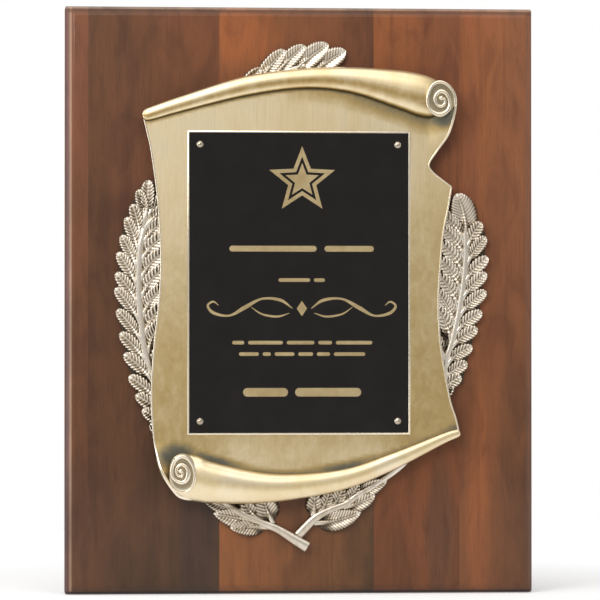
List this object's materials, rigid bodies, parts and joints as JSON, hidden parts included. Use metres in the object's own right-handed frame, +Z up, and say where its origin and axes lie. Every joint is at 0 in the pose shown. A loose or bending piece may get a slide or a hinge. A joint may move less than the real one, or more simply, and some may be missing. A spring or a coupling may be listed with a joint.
{
  "type": "wall award plaque",
  "caption": "Upright wooden wall plaque with bevelled front edges, a cast parchment scroll with curled ends, laurel branches and a blank engraving plate.",
  "frame": {"origin": "centre of the board's back face, on the wall plane", "axes": "+X right as seen from the front, +Y back into the wall, +Z up"},
  "size_m": [0.3048, 0.036, 0.381],
  "materials": {
    "walnut_edge": "gloss lacquer over walnut grain",
    "walnut_left": "gloss lacquer over walnut grain",
    "walnut_centre": "gloss lacquer over walnut grain",
    "walnut_right": "gloss lacquer over walnut grain",
    "walnut_outer": "gloss lacquer over walnut grain",
    "antique_gold": "satin antique gold plate on a cast body, dark patina in the recesses",
    "antique_pewter": "antiqued grey-beige plate, dark wash in the grooves",
    "black_coated_brass": "gloss black coat, brass where it is engraved",
    "bright_nickel": "polished round heads",
    "zinc_steel": "bright zinc plate"
  },
  "bodies": {
    "root": {"edge_strip": "walnut_edge", "left_stave": "walnut_left", "centre_stave": "walnut_centre", "right_stave": "walnut_right", "outer_stave": "walnut_outer", "scroll_casting": "antique_gold", "laurel_left": "antique_pewter", "laurel_right": "antique_pewter", "engraving_plate": "black_coated_brass", "plate_pin_1": "bright_nickel", "plate_pin_2": "bright_nickel", "plate_pin_3": "bright_nickel", "plate_pin_4": "bright_nickel", "scroll_screw_1": "zinc_steel", "scroll_screw_2": "zinc_steel", "scroll_screw_3": "zinc_steel", "scroll_screw_4": "zinc_steel", "laurel_screw_1": "zinc_steel", "laurel_screw_2": "zinc_steel", "laurel_screw_3": "zinc_steel", "laurel_screw_4": "zinc_steel"}
  },
  "joints": []
}
